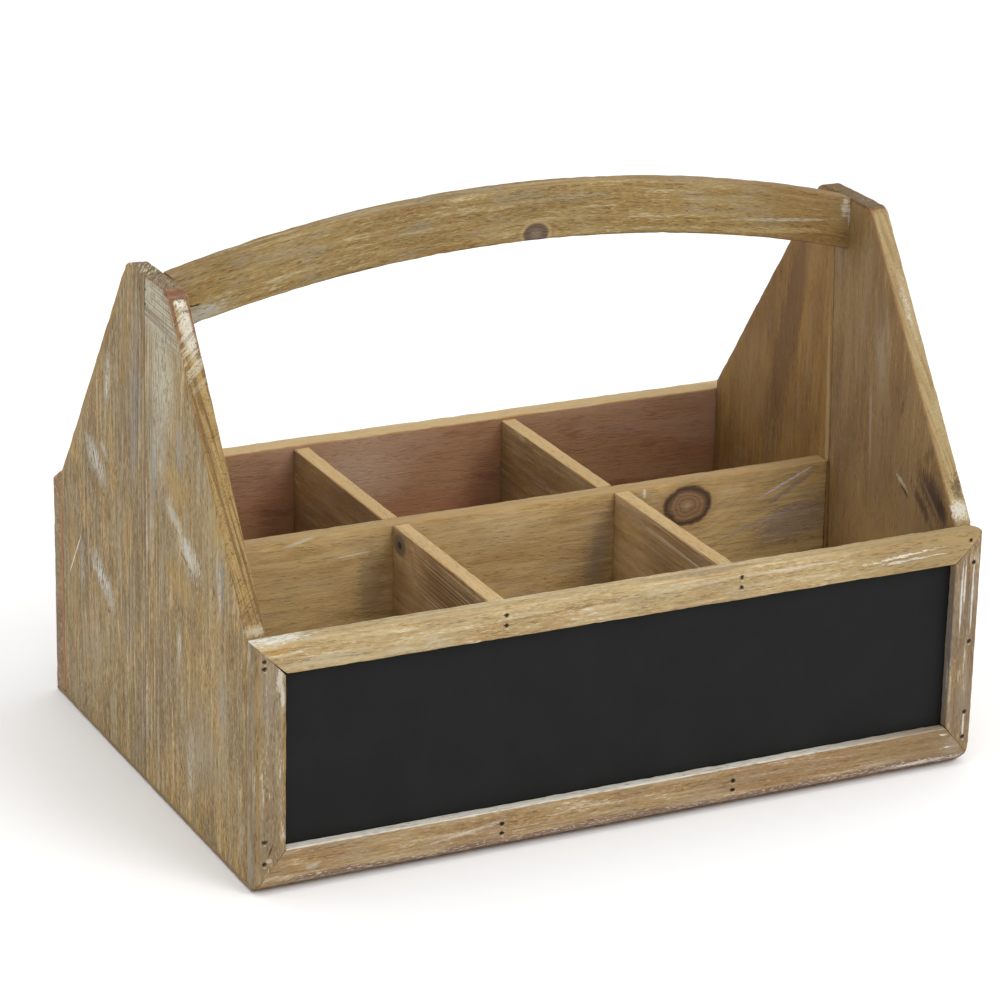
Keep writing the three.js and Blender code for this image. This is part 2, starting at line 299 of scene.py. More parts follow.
class PineFinish:
    """The finish of one weathered pine board: bare wood with its grain first, then what lies on it."""

    def __init__(self, name, grain, seed, body, deep, pale, heart=(40, -70), ring_gap=4.2, ring_depth=0.5,
                 fibre=0.5, pores=0.6, speckle=0.7, warm=("A07F44", 0.35), grey=("938D7C", 0.25), bend=None,
                 knots=(), waviness=7.0):
        self.material = bpy.data.materials.new(name)
        self.material.use_nodes = True
        self.tree = self.material.node_tree
        self.shader = self.tree.nodes["Principled BSDF"]
        where = self.add("TexCoord", output="Object")
        self.place = self.add("VectorMath", (where, (1000, 1000, 1000), tuple(bench_corner)),
                              operation="MULTIPLY_ADD")
        split = self.add("SeparateXYZ", (self.place,), output=None)
        self.x, self.y, self.z = split.outputs
        along, across, through = {"x": (self.x, self.z, self.y), "y": (self.y, self.z, self.x),
                                  "z": (self.z, self.y, self.x)}[grain]
        if bend:
            middle, half, rise = bend
            reach = self.times(self.less(along, middle), 1 / half)
            across = self.sum(across, self.times(self.times(reach, reach), rise))
        self.along, self.across = along, across
        start = self.add("CombineXYZ", (along, across, through))
        self.grain = self.add("VectorMath", (start, (seed * 37.1, seed * 91.7, seed * 53.3)), operation="ADD")
        sway = self.less(self.stretched((0.009, 0.022, 0.022), 2.0), 0.5)
        side = self.sum(self.less(across, heart[0]), self.times(sway, waviness * 2))
        depth = self.sum(self.less(through, heart[1]), self.times(sway, waviness))
        ring_place = self.length_of(side, depth)
        for knot_along, knot_across, radius in knots:
            gap = self.knot_gap(knot_along, knot_across, radius * 2.3)
            swell = self.add("Math", (self.times(self.times(gap, gap), -1.0),), operation="EXPONENT")
            ring_place = self.sum(ring_place, self.times(swell, radius * 2.2))
        self.fibres = self.stretched((0.13, 1.4, 1.4), 5.0, 0.72)
        self.strands = self.stretched((0.03, 0.42, 0.42), 4.0, 0.62)
        self.drifts = self.stretched((0.04, 0.14, 0.14), 3.0, 0.6)
        self.clouds = self.stretched((0.016, 0.045, 0.045), 3.0, 0.55)
        self.grit = self.stretched((0.42, 1.9, 1.9), 2.0, 0.6)
        self.pits = self.stretched((0.26, 2.4, 2.4), 2.0, 0.5)
        ring_place = self.sum(ring_place, self.times(self.strands, ring_gap * 0.5))
        turn = self.add("Math", (self.times(ring_place, 1 / ring_gap),), operation="FRACT")
        self.rings = self.zone((turn, 0.3, 0.9), (turn, 1.0, 0.9))
        self.colour = self.blend(self.between("clouds", 0.36, 0.66), shade(body), shade(deep))
        self.lay(self.rings, deep, ring_depth)
        for value, low, high, code, strength in (
                ("strands", 0.46, 0.70, pale, fibre), ("strands", 0.47, 0.33, deep, fibre * 0.9),
                ("fibres", 0.52, 0.30, deep, fibre), ("drifts", 0.50, 0.66, *warm),
                ("drifts", 0.50, 0.36, *grey), ("grit", 0.50, 0.38, deep, speckle),
                ("grit", 0.52, 0.64, pale, speckle * 0.8)):
            self.tint(value, low, high, code, strength)
        self.pores = self.zone(("pits", 0.44, 0.36), ("strands", 0.62, 0.40))
        self.pore_depth = pores
        self.edge = self.add("Attribute", output="Fac", attribute_name="edge_mm")
        height = self.sum(self.times(self.fibres, 0.8), self.times(self.rings, 0.2))
        height = self.sum(height, self.times(self.grit, 0.35))
        self.height = self.less(height, self.times(self.pores, 0.5))
        self.gloss = self.sum(0.62, self.times(self.fibres, 0.25))
        self.broken = self.between(self.sum(self.fibres, self.times(self.grit, 0.9)), 0.84, 1.0)

    def add(self, kind, inputs=(), output=0, **settings):
        return add_node(self.tree, "ShaderNode" + kind, inputs, output, **settings)

    def sum(self, a, b):
        return self.add("Math", (a, b), operation="ADD")

    def less(self, a, b):
        return self.add("Math", (a, b), operation="SUBTRACT")

    def times(self, a, b):
        return self.add("Math", (a, b), operation="MULTIPLY")

    def either(self, a, b):
        return self.add("Math", (a, b), operation="MAXIMUM")

    def between(self, value, low, high):
        """0 at low and 1 at high, with a soft turn on the way. The value is a socket or, as in "z" and
        "grit", the name of one of the finish's own."""
        value = getattr(self, value) if isinstance(value, str) else value
        return self.add("MapRange", {"Value": value, "From Min": low, "From Max": high},
                        interpolation_type="SMOOTHSTEP")

    def zone(self, first, second):
        """1 only where both of two ramps are 1, each given as for between."""
        return self.times(self.between(*first), self.between(*second))

    def blend(self, share, under, over):
        return self.add("Mix", {0: share, 6: under, 7: over}, output=2, data_type="RGBA")

    def length_of(self, first, second):
        both = self.add("CombineXYZ", (first, second, 0))
        return self.add("VectorMath", (both,), output="Value", operation="LENGTH")

    def stretched(self, scale, detail, roughness=0.5):
        """Noise drawn out along the grain."""
        drawn = self.add("VectorMath", (self.grain, scale), operation="MULTIPLY")
        return self.add("TexNoise", {"Vector": drawn, "Scale": 1.0, "Detail": detail, "Roughness": roughness})

    def streaks(self, way, length, width, detail=3.0):
        """Noise in streaks of a length and a width in mm that run along any bench direction."""
        unit = tuple(Vector(way).normalized())
        run = self.add("VectorMath", (self.place, unit), output="Value", operation="DOT_PRODUCT")
        drawn = self.add("VectorMath", {"Vector": unit, "Scale": self.times(run, 1 / width - 1 / length)},
                         operation="SCALE")
        fine = self.add("VectorMath", (self.place, (1 / width, 1 / width, 1 / width)), operation="MULTIPLY")
        spot = self.add("VectorMath", (fine, drawn), operation="SUBTRACT")
        return self.add("TexNoise", {"Vector": spot, "Scale": 1.0, "Detail": detail, "Roughness": 0.6})

    def knot_gap(self, along, across, radius):
        """The distance from a knot's middle, in its own radii."""
        first = self.times(self.less(self.along, along), 0.8 / radius)
        second = self.times(self.less(self.across, across), 1 / radius)
        return self.length_of(first, second)

    def patch(self, place, half, turn=(0, 0, 0), ragged=0.5, soft=0.4):
        """1 inside a ragged oval lump at a bench place, with half its length on each axis, and 0 outside."""
        angles = tuple(math.radians(angle) for angle in turn)
        local = self.add("Mapping", {"Vector": self.place, "Location": place, "Rotation": angles,
                                     "Scale": half}, vector_type="TEXTURE")
        gap = self.add("VectorMath", (local,), output="Value", operation="LENGTH")
        fray = self.times(self.less(self.fibres, 0.5), ragged * 3)
        fray = self.sum(fray, self.times(self.less(self.strands, 0.5), ragged * 2))
        fray = self.sum(fray, self.times(self.less(self.grit, 0.5), ragged * 3.5))
        return self.between(self.sum(gap, fray), 1.0, 1.0 - soft)

    def marks(self, axis, rows, ragged=0.5, within=None, soft=0.4):
        """Lays ragged marks, each with its place, half lengths, lean about a bench axis, colour, strength."""
        for place, half, lean, code, strength in rows:
            turn = [0, 0, 0]
            turn[axis] = lean
            mark = self.patch(place, half, turn, ragged, soft)
            self.lay(self.times(mark, within) if within else mark, code, strength)

    def face_marks(self, axis, level, depth, rows, ragged=0.5, within=None, soft=0.4):
        """Lays ragged marks on a face across a bench axis at a level. Each row gives its place and its half
        lengths on the other two axes, and then its lean, colour and strength."""
        spread = []
        for first, second, half_first, half_second, *look in rows:
            place = [first, second]
            place.insert(axis, level)
            half = [half_first, half_second]
            half.insert(axis, depth)
            spread.append((place, half, *look))
        self.marks(axis, spread, ragged, within, soft)

    def lay(self, mask, code, strength=1.0):
        """Lays a colour on the wood where the mask says."""
        if strength != 1.0:
            mask = self.times(mask, strength)
        self.colour = self.blend(mask, self.colour, shade(code))

    def tint(self, value, low, high, code, strength=1.0, within=None):
        """Lays a colour where a value goes from low to high, and only inside a mask where one is given."""
        mask = self.between(value, low, high)
        self.lay(self.times(mask, within) if within else mask, code, strength)

    def tints(self, value, within, *rows):
        """Lays several colours by the same value, each with its low, high, colour and strength."""
        for row in rows:
            self.tint(value, *row, within)

    def limewash(self, amount, code="C9C0AC", strength=0.7):
        """White wash left in the grain, here and there."""
        fine = self.sum(self.times(self.fibres, 0.7), self.times(self.strands, 0.6))
        fine = self.sum(fine, self.times(self.grit, 0.4))
        all_parts = self.sum(fine, self.times(self.drifts, 0.7))
        level = 1.37 - amount * 0.3
        self.tint(all_parts, level, level + 0.2, code, strength)

    def worn_edges(self, width, code="AF8450", strength=0.8):
        """Bare orange wood where the edges have been rubbed."""
        reach = self.sum(self.edge, self.times(self.less(self.drifts, 0.5), width * 5))
        reach = self.sum(reach, self.times(self.less(self.fibres, 0.5), width * 2.5))
        self.tint(reach, width, width * 0.2, code, strength)

    def done(self, grooves=0.3):
        """Darkens the pores, joins colour, gloss and height to the shader and gives back the material."""
        self.lay(self.pores, "4E3A24", self.pore_depth)
        self.tree.links.new(self.colour, self.shader.inputs["Base Color"])
        self.tree.links.new(self.gloss, self.shader.inputs["Roughness"])
        relief = self.add("Bump", {"Height": self.height, "Strength": 0.75, "Distance": grooves * MM})
        self.tree.links.new(relief, self.shader.inputs["Normal"])
        self.shader.inputs["Specular IOR Level"].default_value = 0.35
        return self.material


wood = PineFinish("bottom_board_pine", "x", 3, "86694B", "6B5038", "A48E6C", heart=(60, 40), ring_gap=3.0,
                  speckle=0.35)
wood.limewash(0.35, "A89C8C", 0.5)
wood.tint("x", 2.0, 0.8, "8A744E", 0.6)
wood.worn_edges(0.4, "8C6848", 0.4)
base_form = square_board((0, lip_depth, 0), (caddy_length, caddy_depth, base_top))
base_pits = [(x, y, 0) for x in (4, 296) for y in (33.8, 77.3, 173.9)]
knocked_corner = ((297.6, lip_depth, 0), (3.4, -0.4, -2.4), 9)
level_top = ((0, 0, base_top), (0, 0, 1))
sawn_piece("bottom_board", base_form, 0.45, wood.done(), 0.35, (base_joint,), base_pits,
           (0, 0, 1), (knocked_corner, level_top))

# Gabled ends
# Each end is two upright pine boards glued edge to edge, sawn to a gable that carries the handle, and
# left with a grey wash in the grain. Saw lines cross the left one's tip, and the right one has a dark
# torn knot by its front slope.
frame_back = 9.2
back_face = 198.5
end_thickness = 8.0
right_inside = caddy_length - end_thickness
apex_z = 203.0
apex_front_y = 82.7
front_shoulder = (frame_back, 97.3)
rear_shoulder = (back_face, 96.5)


def worn_corner(before, corner, after, wear=2.0):
    """The two points that take the place of a corner worn back by the same length on both sides."""
    points = []
    for other in (before, after):
        run = Vector(other) - Vector(corner)
        points.append(tuple(Vector(corner) + run.normalized() * wear))
    return points


def gable_boards(start, apex_length, foot, top):
    """The front and the rear board of one end, parted by the seam from foot to top."""
    front_corner = (apex_front_y, apex_z)
    rear_corner = (apex_front_y + apex_length, apex_z)
    front_tip = worn_corner(top, front_corner, front_shoulder)
    rear_tip = worn_corner(rear_shoulder, rear_corner, top)
    front_points = [(frame_back, base_top), foot, top, *front_tip, front_shoulder]
    rear_points = [foot, (back_face, base_top), rear_shoulder, *rear_tip, top]
    return (outlined_board(0, front_points, start, end_thickness),
            outlined_board(0, rear_points, start, end_thickness))


def line_gap(finish, first, last):
    """How far a place lies inside the line from the first to the last (y, z) point, in mm."""
    run_y = last[0] - first[0]
    run_z = last[1] - first[1]
    length = math.hypot(run_y, run_z)
    steady = (first[1] * run_y - first[0] * run_z) / length
    part = finish.sum(finish.times(finish.y, run_z / length), finish.times(finish.z, -run_y / length))
    return finish.sum(part, steady)


def seam_line(finish, foot, top):
    """The thin dark glue line between an end's two boards."""
    off = finish.add("Math", (line_gap(finish, foot, top),), operation="ABSOLUTE")
    reach = finish.sum(off, finish.times(finish.strands, 0.35))
    finish.tint("fibres", 0.62, 0.5, "463524", 0.85, finish.between(reach, 0.6, 0.25))


def seam_joint(foot, top):
    """The plane of the glued seam between an end's two boards."""
    across = np.array([0.0, top[1] - foot[1], foot[0] - top[0]])
    return np.array([0.0, *foot]), across / np.linalg.norm(across)


left_seam = ((109.2, base_top), (104.7, apex_z))
right_seam = ((98.2, base_top), (108.7, apex_z))
front_slope = (front_shoulder, (apex_front_y, apex_z))

wood = PineFinish("left_end_front_pine", "z", 1, "9B8357", "7D643D", "B3A37F", heart=(20, -60),
                  ring_gap=3.4, ring_depth=0.25, speckle=0.6, warm=("AE8840", 0.65), grey=("A1987F", 0.4),
                  pores=0.8)
wood.limewash(0.4, "BDB29A", 0.5)
outer = wood.between("x", 1.6, 0.8)
front_gap = line_gap(wood, *front_slope)
wood.face_marks(0, 0, 2, (
    (74, 131, 17, 11, 15, "A98A50", 0.75),
    (72, 94, 24, 9, 10, "A5864E", 0.7),
    (36, 128, 9, 16, -30, "A98A4E", 0.7),
    (60, 62, 9, 26, 0, "A1854F", 0.5),
    (89, 60, 8, 20, 0, "7E6244", 0.6),
    (50, 34, 20, 16, 0, "A3967F", 0.5),
    (22, 90, 10, 7, 10, "86693F", 0.5),
), 0.6, soft=1.0)
wood.face_marks(0, 0, 2, (
    (94, 165, 13, 40, -4, "AFAB9A", 0.3),
    (98.5, 130, 4, 22, 0, "8C8B86", 0.75),
    (72, 147, 3.5, 15, 0, "9A9A96", 0.6),
    (33, 111, 6, 12, -8, "8B8983", 0.7),
    (30, 60, 6, 20, 0, "A79F8E", 0.5),
), 0.8, soft=0.9)
wood.face_marks(0, 0, 2, (
    (88, 168, 17, 26, 0, "C0BBA8", 0.85),
    (92, 140, 9, 18, 0, "B8B3A2", 0.6),
    (100.5, 108, 2.5, 10, 0, "BDB8AA", 0.7),
    (73, 70, 2.6, 10, 0, "C6C2B5", 0.8),
    (104.9, 101, 1.2, 12, 0, "D0CDC2", 0.9),
    (106.4, 35, 1.3, 22, 0, "C6C2B6", 0.8),
    (62, 26, 5, 20, 0, "B6B0A0", 0.6),
    (33, 105, 1.6, 14, 0, "C3BFB4", 0.7),
), 0.7, within=wood.broken)
wood.face_marks(0, 0, 2, (
    (66, 105.4, 12, 0.7, 23, "6B4F2C", 0.8),
    (77, 115, 8, 0.6, 23, "73562F", 0.7),
    (101.7, 150, 0.6, 22, 0, "6C5738", 0.6),
), 0.5)
wood.face_marks(0, 0, 2, (
    (63.5, 109.5, 11, 5.4, 24, "C6C3B8", 0.85),
    (79, 119, 10, 3.6, 24, "BAB6A9", 0.75),
), 1.1, soft=0.6)
apex_zone = wood.times(wood.between("z", 176, 190), outer)
long_grain = wood.streaks((0, -0.02, 1), 80, 0.9, 2.0)
by_seam = wood.times(wood.between("y", 78, 96), outer)
wood.tints(long_grain, by_seam, (0.46, 0.36, "6A5739", 0.55), (0.57, 0.66, "C0BCAE", 0.5))
wood.tint("grit", 0.30, 0.50, "B9B39E", 0.85, apex_zone)
saw_lines = wood.streaks((0, -1, -0.04), 60, 0.9, 1.0)
saw_lines = wood.zone((saw_lines, 0.50, 0.38), ("grit", 0.26, 0.42))
wood.lay(wood.times(saw_lines, apex_zone), "6B5636", 0.6)
slope = wood.between(front_gap, 1.1, 0.4)
wood.lay(slope, "957945", 0.75)
slope_grain = wood.streaks((0.07, -0.571, -0.821), 60, 1.2)
wood.tints(slope_grain, slope, (0.50, 0.39, "634A25", 0.8), (0.54, 0.68, "B29A66", 0.45))
saw_marks = wood.streaks((0.76, 0.37, 0.53), 40, 1.2, 2.0)
high_slope = wood.times(slope, wood.between("z", 168, 182))
wood.tints(saw_marks, high_slope, (0.46, 0.56, "B9AF97", 0.85), (0.44, 0.32, "7A5F38", 0.6))
cream = wood.patch((4.6, 74.5, 191), (2.9, 7, 14), (-35, 0, 0), 0.3, 0.5)
wood.lay(wood.times(slope, cream), "C8C1AE", 0.85)
wood.tint(saw_marks, 0.46, 0.36, "8A8073", 0.6, wood.times(slope, cream))
wood.marks(0, (
    ((4, 80, 198.6), (2.4, 1.8, 1.8), 0, "D2CDBC", 0.95),
    ((5.2, 78.2, 196.2), (2.2, 0.5, 1.2), 0, "5F5349", 0.8),
    ((4, 13, 103), (6, 3, 3), 0, "6B5335", 0.5),
    ((4, 10, 98.5), (5, 2.6, 2), 0, "BDB7A6", 0.5),
), 0.8, within=slope)
foot_marks = wood.zone((saw_marks, 0.46, 0.36), ("z", 122, 104))
wood.lay(wood.times(slope, foot_marks), "6C5130", 0.7)
tip = wood.zone(("z", 199.6, 201.4), ("y", 88, 84))
rim = wood.zone(("edge", 1.9, 1.0), ("z", 178, 194))
wood.lay(wood.either(wood.times(rim, slope), tip), "6E402B", 0.85)
top_face = wood.zone(("z", 201.8, 202.6), ("y", 85, 87))
top_strokes = wood.streaks((0.6, 1, 0), 6, 0.7)
wood.lay(top_face, "7C6A4E", 0.8)
wood.tints(top_strokes, top_face, (0.50, 0.42, "4C3B2C", 0.7), (0.60, 0.68, "A89C80", 0.7))
seam_line(wood, *left_seam)
wood.worn_edges(0.7, "9C7440", 0.55)
left_front = wood

wood = PineFinish("left_end_rear_pine", "z", 2, "978054", "7A613B", "AEA080", heart=(160, -50),
                  ring_gap=3.8, ring_depth=0.25, speckle=0.6, warm=("AE8840", 0.65), grey=("A1987F", 0.4),
                  pores=0.8)
wood.limewash(0.4, "BAB09A", 0.45)
near_seam = wood.patch((0, 117, 150), (2, 8, 42), (0, 0, 0), 0.4, 0.8)
wood.lay(near_seam, "8D8A82", 0.55)
wood.tint("fibres", 0.5, 0.38, "5F4D36", 0.6, near_seam)
wood.face_marks(0, 0, 2, (
    (186, 60, 7, 44, 0, "A78B56", 0.6),
    (125, 172, 7, 30, 12, "9D7F47", 0.6),
    (148, 97, 8, 5, 0, "80603A", 0.6),
    (131, 20, 7, 16, 0, "755C3C", 0.5),
    (165, 35, 14, 16, 0, "948672", 0.5),
    (125, 95, 9, 22, 0, "A08450", 0.5),
), 0.6, soft=1.0)
wood.face_marks(0, 0, 2, (
    (145, 150, 3.6, 13, 10, "C6C3B8", 1.0),
    (158.5, 114, 15, 6.5, 30, "C0BCB1", 0.95),
    (150, 121, 6, 3, 30, "B4AFA2", 0.7),
    (154, 68, 17, 7, 31, "C3BFB4", 0.95),
    (143, 60, 4, 6, 10, "B8B2A4", 0.7),
    (176, 64, 4, 12, 0, "A9A6A0", 0.6),
), 0.8, within=wood.broken)
wood.face_marks(0, 0, 2, (
    (183.4, 66.8, 14.4, 0.42, -56, "DAD8D0", 0.95),
    (150.3, 102.5, 1.5, 0.6, 0, "4E3B26", 0.8),
    (146.6, 56.3, 1.7, 0.7, 0, "4E3B26", 0.8),
    (174.5, 78, 0.5, 4, 10, "6A5334", 0.8),
), 0.3)
long_grain = wood.streaks((0, -0.02, 1), 80, 0.9, 2.0)
by_seam = wood.between("y", 138, 112)
wood.tints(long_grain, by_seam, (0.46, 0.36, "675537", 0.6), (0.57, 0.66, "ADAAA2", 0.5))
rear_gap = line_gap(wood, (124.2, apex_z), rear_shoulder)
rear_reach = wood.sum(rear_gap, wood.times(wood.strands, 4))
wood.tint(rear_reach, 6.0, 4.0, "9C7A44", 0.75)
rear_top = wood.between("z", 201.8, 202.6)
rear_strokes = wood.streaks((0.6, 1, 0), 5, 0.7)
wood.lay(rear_top, "7E7052", 0.8)
wood.tints(rear_strokes, rear_top, (0.50, 0.40, "4A3C30", 0.8), (0.54, 0.62, "C0B79C", 0.75))
seam_line(wood, *left_seam)
wood.worn_edges(0.7, "9C7440", 0.6)
left_rear = wood

wood = PineFinish("right_end_front_pine", "z", 5, "987C52", "82633E", "A89069", heart=(50, 340),
                  ring_gap=6.5, ring_depth=0.25, fibre=0.25, pores=0.3, speckle=0.3, grey=("94897A", 0.12))
wood.limewash(0.1, "B8AB8F", 0.5)
wood.face_marks(0, right_inside, 2, (
    (73.5, 116, 1.2, 22, -4, "AD9E8D", 0.5),
    (48, 101, 5.2, 1.3, 32, "C7BCA3", 0.85),
    (46, 98.6, 4.6, 0.9, 32, "422F21", 0.85),
    (51, 131, 1.2, 4, 10, "58422A", 0.6),
    (30, 118, 3, 6, 30, "694E36", 0.5),
), 0.6)
wood.face_marks(0, right_inside, 2, (
    (68.5, 147, 6, 26, -12, "AE9C85", 0.55),
    (64.5, 158, 3, 16, -8, "B5A48E", 0.4),
    (62, 62, 60, 40, 0, "BC9A64", 0.85),
), 0.3, soft=1.0)
wood.marks(0, (
    ((292, 28, 104), (4, 16, 7.6), 42, "4F392B", 0.85),
    ((292, 33, 97), (4, 15, 3.4), 38, "54392A", 0.8),
    ((292, 20, 100), (4, 9, 4.4), 46, "40302A", 0.8),
    ((292, 27, 101.5), (3, 12, 1.2), 40, "9A8063", 0.6),
), 0.35, soft=0.8)
wood.face_marks(0, right_inside, 4, (
    (24, 105, 10, 6.5, 42, "4A352A", 0.6),
    (18.5, 100, 6, 3.6, 46, "3E2E26", 0.7),
), 0.12, soft=0.7)
right_gap = line_gap(wood, *front_slope)
right_slope = wood.between(right_gap, 1.2, 0.4)
wood.lay(right_slope, "9C875C", 0.85)
right_grain = wood.streaks((0.1, -0.571, -0.821), 26, 1.1)
wood.tints(right_grain, right_slope, (0.50, 0.38, "7C5F38", 0.45), (0.52, 0.64, "A99972", 0.45))
slope_arris = wood.times(right_slope, wood.between("x", 293.6, 292.4))
wood.tint("fibres", 0.3, 0.5, "7A5630", 0.7, slope_arris)
wood.marks(0, (
    ((296.6, 60, 168), (2.4, 18, 26), 0, "C2BBA8", 0.85),
    ((297, 34, 134), (3, 12, 14), 0, "B3A683", 0.55),
), 0.9, wood.times(right_slope, wood.broken), 0.9)
wood.marks(0, (
    ((297.5, 17, 109), (2.5, 5, 6), 0, "5B4531", 0.85),
    ((296, 12, 101.5), (5, 3.6, 4.6), 0, "C4BFB0", 0.9),
), 0.8, right_slope)
wood.marks(0, (
    ((296, 100, 203), (6, 24, 1), 0, "7E6846", 0.7),
    ((296, 95, 203), (2.5, 8, 1), 0, "A89F8B", 0.5),
    ((293, 84, 202), (3, 3, 3), 0, "8A5A32", 0.7),
), 0.8)
right_front = wood

wood = PineFinish("right_end_rear_pine", "z", 6, "9B763F", "7F5B2C", "B09052", heart=(150, 340),
                  ring_gap=9.0, ring_depth=0.4, fibre=0.2, pores=0.3, speckle=0.25, grey=("94897A", 0.12))
wood.face_marks(0, right_inside, 3, (
    # A long dark painted shadow of the handle, slanting down the inner face.
    (139, 140, 9, 70, 14, "684728", 0.6),
    (168, 106, 14, 32, 20, "AC8C5A", 0.25),
    (123, 180, 7, 24, 14, "A38150", 0.4),
    (106, 100, 1.6, 60, -3, "BBA174", 0.6),
), 0.25)
right_rear = wood

for board in (right_front, right_rear):
    seam_line(board, *right_seam)
    board.worn_edges(0.7, "8F6B3B", 0.5)
    board.tint("fibres", 0.66, 0.50, "5C4A30", 0.9, board.between("z", 201.4, 202.4))
    outside = board.between("x", 298.4, 299.2)
    board.tint("strands", 0.44, 0.66, "A99C7E", 0.6, outside)
    board.tint("fibres", 0.50, 0.34, "725A38", 0.6, outside)
    board.tint("grit", 0.52, 0.64, "B3A37F", 0.6, outside)

for side, start, apex_length, seam, finishes, pit_x, way in (
        ("left", 0.0, 41.5, left_seam, (left_front, left_rear), 0.0, (1, 0, 0)),
        ("right", right_inside, 39.0, right_seam, (right_front, right_rear), caddy_length, (-1, 0, 0))):
    boards = gable_boards(start, apex_length, *seam)
    handle_pits = [(pit_x, 104.5, z) for z in (197.6, 192.1)]
    worn_top = (((8, 120.5, apex_z), (1, 1, 0.6), 14),) if side == "left" else ()
    for part, slot, form, finish in zip(("front", "rear"), ("honey_wood", "brown_wood"), boards, finishes):
        sawn_piece(f"{side}_end_{part}_board", form, 0.7, finish.done(), 0.4,
                   (base_joint, seam_joint(*seam)), handle_pits if part == "front" else (), way, worn_top)

# Back panel
# One board of redder pine behind both rows, butted over the ends and bradded through into them. Its
# top edge is freshly sawn and pale, and its left top corner has been chipped off.
wood = PineFinish("back_panel_pine", "x", 8, "8F7350", "77593A", "B0A082", heart=(70, 150), ring_gap=5.0,
                  ring_depth=0.45, fibre=0.4, pores=0.2, speckle=0.3)
inside = wood.between("y", 200.0, 199.0)
wood.limewash(0.35, "B8AE9C", 0.5)
wood.tint("fibres", 0.28, 0.5, "A97C59", 0.85, inside)
wood.tint("clouds", 0.45, 0.65, "A4694C", 0.5, inside)
wood.tint("drifts", 0.55, 0.68, "845640", 0.6, inside)
# A pale haze that grows towards the top of the inner face is painted light falling into the bays.
painted_light_haze = wood.sum(wood.clouds, wood.times(wood.less(wood.z, 75), 0.008))
painted_light_haze = wood.sum(painted_light_haze, wood.times(wood.less(wood.fibres, 0.5), 0.4))
wood.tint(painted_light_haze, 0.50, 0.74, "B2947A", 0.6, inside)
# Painted light and shade on the inner face: pale painted light high in the left and middle bays, and dark red
# painted shade beside the two rear cross dividers.
wood.face_marks(1, back_face, 1.5, (
    (128, 78, 34, 22, 0, "C8AE96", 0.6),
    (182, 50, 13, 60, 0, "7A4A36", 0.5),
    (88, 50, 9, 60, 0, "7A4A36", 0.4),
    (52, 80, 26, 16, 0, "B39C8C", 0.4),
), 0.25, soft=1.0)
wood.tint("z", 92.2, 92.7, "BFA474", 0.85)
wood.worn_edges(0.8, "A5764A", 0.7)
back_top = 93
back_outline = [(0, base_top), (caddy_length, base_top), (caddy_length, back_top), (3.3, back_top), (0, 90.4)]
back_pits = [(x, caddy_depth, share * back_top) for x in (4, 296) for share in (0.14, 0.49, 0.86)]
back_form = outlined_board(1, back_outline, back_face, caddy_depth - back_face)
sawn_piece("back_panel", back_form, 0.7, wood.done(), 0.4, (base_joint,), back_pits, (0, -1, 0))

# Long divider
# A thin board from end to end between the two rows, with a large sound knot near its right end. The
# cross dividers butt against it, and its top edge is sawn clean.
divider_top = 92.0
divider_near = 103.8
divider_far = 111.6
wood = PineFinish("long_divider_pine", "x", 11, "CFAF75", "B0905D", "E1C898", heart=(10, 30), ring_gap=4.6,
                  ring_depth=0.4, fibre=0.35, pores=0.25, speckle=0.12, warm=("9C7743", 0.4),
                  grey=("9A8D7B", 0.2), knots=((228, 81.6, 9),))
wood.limewash(0.05, "E5DFC8", 0.45)
knot_warp = wood.add("TexNoise", {"Vector": wood.place, "Scale": 0.2, "Detail": 3.0})
knot_warp = wood.times(wood.less(knot_warp, 0.5), 0.35)
knot_gap = wood.sum(wood.knot_gap(228, 81.6, 8.0), knot_warp)
knot_inside = wood.between(knot_gap, 1.02, 0.85)
knot_halo = wood.between(knot_gap, 1.7, 1.0)
wood.lay(knot_halo, "A27C52", 0.5)
wood.lay(knot_inside, "957452")
knot_turn = wood.add("Math", (wood.times(knot_gap, 5.0),), operation="FRACT")
wood.tint(knot_turn, 0.35, 0.85, "6B503A", 0.5, knot_inside)
wood.tint(knot_gap, 0.30, 0.08, "B09878", 0.7)
knot_rim = wood.zone((knot_gap, 0.70, 0.90), (knot_gap, 1.16, 0.98))
knot_rim = wood.times(knot_rim, wood.between("strands", 0.26, 0.44))
wood.lay(knot_rim, "46352A", 0.9)
wood.face_marks(1, divider_near, 2, (
    (63, 91.0, 11, 0.7, -12, "D8D2C4", 0.75),
    (83, 82.2, 10, 0.5, -4, "D8D2C4", 0.7),
    (208.5, 89.5, 0.8, 2.2, 0, "E0DBCE", 0.8),
    (272, 85, 15, 0.6, -23, "D1CED4", 0.75),
    (274, 82, 15, 1.4, -29, "938377", 0.7),
    (276, 68, 20, 9, -10, "99877A", 0.65),
    (262, 70, 22, 0.7, -14, "AEA19A", 0.6),
    # Painted shade beside the front left divider.
    (91, 70, 7, 18, 0, "907B5D", 0.5),
), 0.4)
# Painted light and shade: a grey painted shadow beside the front right divider, and a pale patch of painted
# light high in the middle bay.
wood.face_marks(1, divider_near, 2, (
    (188, 66, 8, 30, 8, "7F766C", 0.6),
    (148, 84, 28, 10, 6, "D0BF9A", 0.35),
), 0.2, soft=1.0)
wood.tint("z", 91.2, 91.7, "9C8257", 0.8)
wood.worn_edges(0.7, "B4854C", 0.7)
long_form = square_board((end_thickness, divider_near, base_top), (right_inside, divider_far, divider_top))
sawn_piece("long_divider", long_form, 0.6, wood.done(), 0.35)

